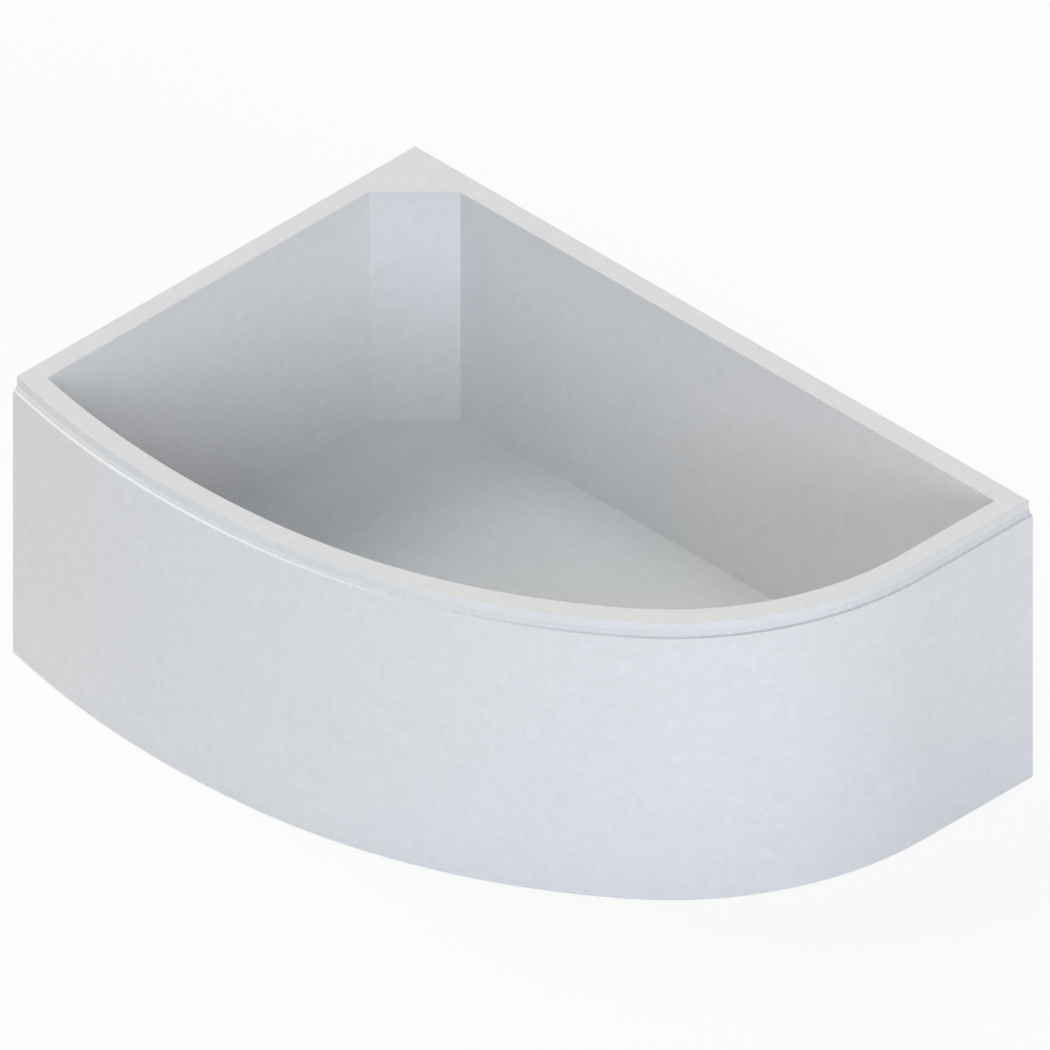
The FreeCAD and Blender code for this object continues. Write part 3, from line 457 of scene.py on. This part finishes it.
def moulded(name):
    """Injection-moulded plastic with a fine spark-eroded grain and faint flow clouds."""
    dark, pale, roughness, grain_depth = PLASTICS[name]
    made = Finish(name)
    flow = made.noise(made.place, scale=28.0, roughness=0.6, distortion=1.2)
    grain = made.noise(made.place, scale=1400.0, detail=3.0)
    colour = made.mix(made.spread(flow, (0.35, 0.65)), dark, pale)
    shine = (roughness - PLASTIC_SHINE_SPREAD, roughness + PLASTIC_SHINE_SPREAD)
    bumps = made.bump(grain, strength=0.25, distance=grain_depth)
    return made.finish(colour, made.spread(flow, (0.3, 0.7), onto=shine), bumps)


def node_finishes():
    """Finishes by the record's material slots, and by node where one differs from its slot."""
    by_slot = {
        "shell_acrylic": acrylic("acrylic_of_shell", back_sign=1.0, back_top=LIP_BOTTOM),
        "panel_acrylic": acrylic("acrylic_of_panel", back_sign=-1.0, back_top=ABOVE_PANEL),
        "chipboard": chipboard(),
        "timber": timber("timber_along_x", "x"),
        "plywood": plywood(),
        "foot_plastic": moulded("foot_plastic"),
        "zinc_fasteners": zinc(),
        "galvanised_steel": galvanised(),
        "spring_steel": spring_steel(),
        "chrome_trim": chrome(),
        "brass_pins": brass(),
        "rubber_seal": rubber(),
        "white_polypropylene": moulded("white_polypropylene"),
    }
    by_node = {
        "left_rim_batten": timber("timber_along_y", "y"),
        "front_rim_batten": timber("timber_along_arc", "arc"),
    }
    return by_slot, by_node


def dress_nodes(by_slot, by_node):
    for part in frame["record"]["subparts"]:
        mesh = frame["nodes"][part["node"]].data
        mesh.materials.clear()
        mesh.materials.append(by_node.get(part["node"], by_slot[part["material_slot"]]))


def plan_middle(low, high):
    return (low[0] + high[0]) / 2, (low[1] + high[1]) / 2


def turned_rings(rings, segments, centre, closed):
    """Points and faces of a surface through rings round an upright axis.

    A ring is a height and a radius by angle. A closed surface joins its last ring to its first.
    """
    points = []
    faces = []
    for height, radius_at in rings:
        for step in range(segments):
            angle = 2 * math.pi * step / segments
            radius = radius_at(angle)
            x = centre[0] + radius * math.cos(angle)
            y = centre[1] + radius * math.sin(angle)
            points.append((x, y, height))
    count = len(rings)
    for ring in range(count if closed else count - 1):
        low, high = ring * segments, (ring + 1) % count * segments
        for step in range(segments):
            after = (step + 1) % segments
            faces.append((low + step, low + after, high + after, high + step))
    if not closed:
        faces.append(tuple(reversed(range(segments))))
        faces.append(tuple(range((count - 1) * segments, count * segments)))
    return points, faces


def add_piece(name, shapes, body, nodes, material):
    """One mesh piece from several lists of points and faces, in place of CAD nodes on the same body."""
    points = []
    faces = []
    for shape_points, shape_faces in shapes:
        start = len(points)
        points.extend(shape_points)
        faces.extend(tuple(start + index for index in face) for face in shape_faces)
    mesh = bpy.data.meshes.new(name)
    mesh.from_pydata(points, [], faces)
    mesh.materials.append(material)
    mesh.polygons.foreach_set("use_smooth", [True] * len(mesh.polygons))
    mesh.set_sharp_from_angle(angle=math.radians(SHARP_ANGLE))
    piece = bpy.data.objects.new(name, mesh)
    bpy.context.scene.collection.objects.link(piece)
    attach(piece, body)
    if nodes:
        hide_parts(*nodes)


def steady(radius):
    return lambda angle: radius


def thread(height, crest, pitch, depth):
    """Radius by angle of a screw thread at this height."""
    def radius_at(angle):
        share = (height / pitch - angle / (2 * math.pi)) % 1.0
        rise = 1.0 - abs(2.0 * share - 1.0)
        return crest - depth * min(1.0, max(0.0, (CREST_START - rise) / FLANK_REACH))
    return radius_at


def lobed(radius, lobes, depth):
    """Radius by angle of a rim with rounded finger grips."""
    return lambda angle: radius - depth * (0.5 - 0.5 * math.cos(lobes * angle)) ** 2


def hexagon(flats, limit):
    """Radius by angle of a hexagon, cut back to a limit as the chamfer of a nut cuts its corners."""
    def radius_at(angle):
        from_flat = angle % (math.pi / 3) - math.pi / 6
        return min(limit, flats / 2 / math.cos(from_flat))
    return radius_at


def screw_rings(low, high, chamfered_end, radius, pitch, thread_depth, chamfer, step):
    """Rings of a screw thread between two heights, one of which has a chamfered end."""
    rings = []
    count = round((high - low) / step)
    for index in range(count + 1):
        height = low + (high - low) * index / count
        crest = min(radius, radius - chamfer + abs(chamfered_end - height))
        depth = max(0.0, crest - radius + thread_depth)
        rings.append((height, thread(height, crest, pitch, depth)))
    return rings


def nut_rings(low):
    """Hexagon nut with both faces chamfered and a countersunk bore."""
    high = low + NUT_HEIGHT
    rings = []
    for index in range(NUT_CHAMFER_STEPS + 1):
        rise = NUT_CHAMFER * index / NUT_CHAMFER_STEPS
        rings.append((low + rise, hexagon(NUT_FLATS, NUT_FLATS / 2 + rise * NUT_CHAMFER_SLOPE)))
    rings += [(high - (height - low), radius_at) for height, radius_at in reversed(rings)]
    sink = NUT_BORE + NUT_COUNTERSINK
    rings += [(high, steady(sink)), (high - NUT_COUNTERSINK, steady(NUT_BORE))]
    rings += [(low + NUT_COUNTERSINK, steady(NUT_BORE)), (low, steady(sink))]
    return rings


def pad_rings():
    """Foot pad with finger grips round its edge, a ribbed hub and the socket that turns on the stud."""
    rings = [(height, lobed(radius, PAD_GRIPS, PAD_GRIP_DEPTH)) for height, radius in PAD_EDGE]
    rings += [(height, steady(radius)) for height, radius in PAD_GROOVE]
    rings += [(height, lobed(radius, PAD_RIBS, PAD_RIB_DEPTH)) for height, radius in PAD_HUB]
    rings += [(height, steady(radius)) for height, radius in PAD_SOCKET]
    return rings


def add_feet(materials):
    """Threaded studs, hexagon nuts and gripped pads, in the places of the plain ones."""
    nuts = []
    for number in range(1, FEET + 1):
        low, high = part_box(f"foot_stud_{number}")
        centre = plan_middle(low, high)
        rings = screw_rings(low[2], high[2], high[2], **STUD_SCREW)
        stud = turned_rings(rings, STUD_SEGMENTS, centre, closed=False)
        add_piece(f"threaded_stud_{number}", [stud], f"foot_{number}", [f"foot_stud_{number}"],
                  materials["zinc_fasteners"])
        pad = turned_rings(pad_rings(), PAD_SEGMENTS, centre, closed=False)
        add_piece(f"gripped_pad_{number}", [pad], f"foot_{number}", [f"foot_pad_{number}"],
                  materials["foot_plastic"])
        for nut_low in NUT_LOWS:
            nuts.append(turned_rings(nut_rings(nut_low), NUT_SEGMENTS, centre, closed=True))
    add_piece("hexagon_nuts", nuts, "tub", ["foot_nuts"], materials["zinc_fasteners"])


def outlet_rings(low, high, plate_radius):
    """Plate under the waste with a threaded tube below it."""
    plate_low = high - OUTLET_PLATE
    thread_top = low + OUTLET_THREAD
    root = OUTLET_SCREW["radius"] - OUTLET_SCREW["thread_depth"]
    rings = screw_rings(low, thread_top, low, **OUTLET_SCREW)
    rings += [(thread_top + OUTLET_SCREW["step"], steady(root)), (plate_low, steady(root))]
    rings += [(plate_low, steady(plate_radius)), (high, steady(plate_radius))]
    return rings + [(high, steady(OUTLET_BORE)), (low, steady(OUTLET_BORE))]


def add_outlet(materials):
    """Threaded outlet under the waste, in the place of the plain one."""
    low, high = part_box("waste_spigot")
    rings = outlet_rings(low[2], high[2], (high[0] - low[0]) / 2)
    outlet = turned_rings(rings, OUTLET_SEGMENTS, plan_middle(low, high), closed=True)
    add_piece("threaded_outlet", [outlet], "tub", ["waste_spigot"],
              materials["white_polypropylene"])


def front_line(offset):
    """Points along the rim's front outline, moved outward, from the long wall to the short one."""
    points = [(RIM_LENGTH + offset, 0.0)]
    centre_u, centre_v = RIM_LENGTH - ARC_RADII[0], END_STRAIGHT
    first = 0.0
    for index, rim_radius in enumerate(ARC_RADII):
        radius = rim_radius + offset
        is_last = index == len(ARC_SWEEPS)
        last = math.acos(-centre_u / radius) if is_last else first + math.radians(ARC_SWEEPS[index])
        # Later arcs leave out their first point, which the arc before has made
        for step in range(min(index, 1), ARC_STEPS + 1):
            angle = first + (last - first) * step / ARC_STEPS
            points.append((centre_u + radius * math.cos(angle), centre_v + radius * math.sin(angle)))
        if not is_last:
            centre_u += (rim_radius - ARC_RADII[index + 1]) * math.cos(last)
            centre_v += (rim_radius - ARC_RADII[index + 1]) * math.sin(last)
        first = last
    return [(RIM_CORNER.x + u, RIM_CORNER.y - v) for u, v in points]


def along_front(section):
    """Points and faces of a closed section carried along the rim's front outline."""
    rows = [[(x, y, height) for x, y in front_line(offset)] for offset, height in section]
    count = len(rows[0])
    starts = [count * index for index in range(len(rows))]
    faces = [tuple(starts), tuple(start + count - 1 for start in reversed(starts))]
    for low, high in zip(starts, starts[1:] + starts[:1]):
        for step in range(count - 1):
            faces.append((low + step, low + step + 1, high + step + 1, high + step))
    return [point for row in rows for point in row], faces


def add_trim():
    """Matt seal against the lip and a glossy sloping strip, along the panel's upper edge."""
    seal = along_front(SEAL_SECTION)
    add_piece("lip_seal", [seal], "panel", [], moulded("matt_seal"))
    trim = along_front(TRIM_SECTION)
    add_piece("edge_trim", [trim], "panel", ["panel_top_trim"], moulded("gloss_trim"))


def add_floor():
    """Pale floor that shows as the white of the backdrop and still takes the object's shadow."""
    bpy.ops.mesh.primitive_plane_add(size=FLOOR_SIDE)
    floor = bpy.context.object
    floor.name = "floor"
    made = Finish("pale_floor")
    made.put(made.shader.inputs["Base Color"], FLOOR_COLOUR)
    made.put(made.shader.inputs["Roughness"], FLOOR_ROUGHNESS)
    made.put(made.shader.inputs["Specular IOR Level"], 0.0)
    white = made.node("ShaderNodeEmission", Color=FLOOR_WHITE, Strength=1.0)
    share = made.math("MULTIPLY", made.seen_directly(), FLOOR_WHITE_SHARE)
    blend = made.blend_shaders(share, made.shader.outputs[0], white.outputs[0])
    made.put(made.output.inputs["Surface"], blend)
    floor.data.materials.append(made.material)


def add_world():
    """White backdrop where it is seen, and a weak ambient light."""
    world = bpy.data.worlds.new("studio")
    bpy.context.scene.world = world
    world.use_nodes = True
    made = Nodes(world.node_tree)
    ambient = made.tree.nodes["Background"]
    made.put(ambient.inputs["Color"], AMBIENT_COLOUR)
    made.put(ambient.inputs["Strength"], AMBIENT_STRENGTH)
    white = made.node("ShaderNodeBackground", Color=BACKDROP_WHITE, Strength=1.0)
    blend = made.blend_shaders(made.seen_directly(), ambient.outputs[0], white.outputs[0])
    made.put(made.tree.nodes["World Output"].inputs["Surface"], blend)


def add_lamp(name, azimuth, elevation, spread, colour, strength):
    """Soft lamp far away, at an azimuth that is 0 in front and 90 on the side of +X."""
    data = bpy.data.lights.new(name, "SUN")
    data.angle = math.radians(spread)
    data.color = colour
    data.energy = strength
    lamp = bpy.data.objects.new(name, data)
    around, above = math.radians(azimuth), math.radians(elevation)
    flat = math.cos(above)
    toward = Vector((math.sin(around) * flat, -math.cos(around) * flat, math.sin(above)))
    lamp.rotation_mode = "QUATERNION"
    lamp.rotation_quaternion = toward.to_track_quat("Z", "Y")
    bpy.context.scene.collection.objects.link(lamp)


def add_camera():
    """Parallel view that puts the rim's back corner on its pixel."""
    up = VIEW_FROM.cross(VIEW_RIGHT)
    middle = IMAGE_SIDE / 2
    across = (middle - RIM_CORNER_PIXEL[0]) / PIXELS_PER_METRE
    down = (middle - RIM_CORNER_PIXEL[1]) / PIXELS_PER_METRE
    target = RIM_CORNER + VIEW_RIGHT * across - up * down
    data = bpy.data.cameras.new("camera")
    data.type = "ORTHO"
    data.ortho_scale = IMAGE_SIDE / PIXELS_PER_METRE
    camera = bpy.data.objects.new("camera", data)
    turned = Matrix((VIEW_RIGHT, up, VIEW_FROM)).transposed().to_4x4()
    camera.matrix_world = Matrix.Translation(target + VIEW_FROM * CAMERA_DISTANCE) @ turned
    bpy.context.scene.collection.objects.link(camera)
    bpy.context.scene.camera = camera


slot_finishes, special_finishes = node_finishes()
dress_nodes(slot_finishes, special_finishes)
add_feet(slot_finishes)
add_outlet(slot_finishes)
add_trim()
add_floor()
add_world()
for lamp_name, settings in LAMPS.items():
    add_lamp(lamp_name, *settings)
add_camera()
bpy.context.scene.view_settings.view_transform = "Standard"
